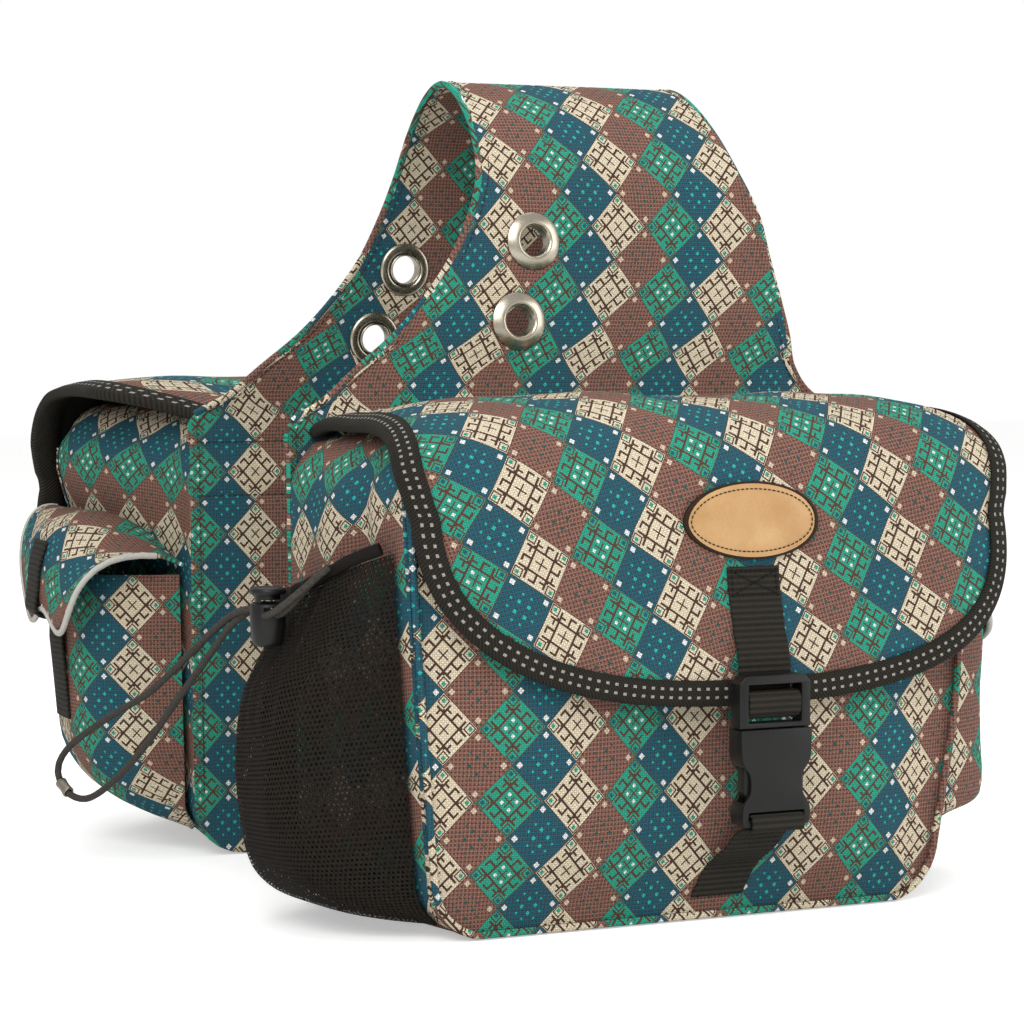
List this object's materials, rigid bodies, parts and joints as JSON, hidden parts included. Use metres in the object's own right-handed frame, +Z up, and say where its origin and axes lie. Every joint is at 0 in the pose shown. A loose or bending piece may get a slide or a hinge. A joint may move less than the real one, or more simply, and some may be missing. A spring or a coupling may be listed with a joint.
{
  "type": "saddle bag",
  "caption": "Pair of soft bags hung over a saddle from a shared cloth yoke, each with a buckled flap, a mesh bottle pocket and a small flap pocket.",
  "frame": {"origin": "on the floor under the middle of the part's bounding box", "axes": "+Z up, -Y toward the front bag's face, +X toward the small flap pocket of the front bag"},
  "size_m": [0.4074, 0.4406, 0.3738],
  "materials": {
    "printed_cloth": "coarse plain weave, printed with a geometric rug pattern",
    "black_webbing": "ribbed woven tape",
    "black_mesh": "open knitted mesh",
    "black_plastic": "satin moulded",
    "grey_piping": "woven piping",
    "leatherette": "smooth coated",
    "brass": "polished",
    "steel": "drawn wire",
    "elastic": "braided cord"
  },
  "bodies": {
    "bags": {"yoke": "printed_cloth", "front_gusset": "printed_cloth", "front_face_panel": "printed_cloth", "front_face_piping": "grey_piping", "front_flap": "printed_cloth", "front_flap_binding": "black_webbing", "front_flap_strap": "black_webbing", "front_buckle_plug": "black_plastic", "front_socket_strap": "black_webbing", "front_mesh_pocket": "black_mesh", "front_mesh_pocket_hem": "black_mesh", "front_side_pocket": "printed_cloth", "front_side_pocket_flap": "printed_cloth", "front_side_flap_piping": "grey_piping", "front_side_pocket_strap": "black_webbing", "rear_gusset": "printed_cloth", "rear_face_panel": "printed_cloth", "rear_face_piping": "grey_piping", "rear_flap": "printed_cloth", "rear_flap_binding": "black_webbing", "rear_flap_strap": "black_webbing", "rear_buckle_plug": "black_plastic", "rear_socket_strap": "black_webbing", "rear_mesh_pocket": "black_mesh", "rear_mesh_pocket_hem": "black_mesh", "rear_side_pocket": "printed_cloth", "rear_side_pocket_flap": "printed_cloth", "rear_side_flap_piping": "grey_piping", "rear_side_pocket_strap": "black_webbing", "front_oval_patch": "leatherette", "grommet_front_1": "brass", "grommet_washer_front_1": "brass", "grommet_front_2": "brass", "grommet_washer_front_2": "brass", "grommet_rear_1": "brass", "grommet_washer_rear_1": "brass", "grommet_rear_2": "brass", "grommet_washer_rear_2": "brass", "cord_lock_barrel": "black_plastic", "cord_lock_spring": "steel", "drawcord": "elastic", "cord_clip": "steel"},
    "front_socket": {"front_buckle_socket": "black_plastic"},
    "rear_socket": {"rear_buckle_socket": "black_plastic"},
    "lock_button": {"cord_lock_button": "black_plastic"}
  },
  "joints": [
    {"name": "front_buckle_release", "type": "slide", "parent": "bags", "child": "front_socket", "axis": [0, 0, -1], "range_m": [0, 0.03], "deforming": ["front_socket_strap"]},
    {"name": "rear_buckle_release", "type": "slide", "parent": "bags", "child": "rear_socket", "axis": [0, 0, -1], "range_m": [0, 0.03], "deforming": ["rear_socket_strap"]},
    {"name": "cord_lock_press", "type": "slide", "parent": "bags", "child": "lock_button", "axis": [0, 0, -1], "range_m": [0, 0.003], "stiffness_N_per_m": 800, "springref_m": -0.001, "deforming": ["cord_lock_spring"]}
  ]
}
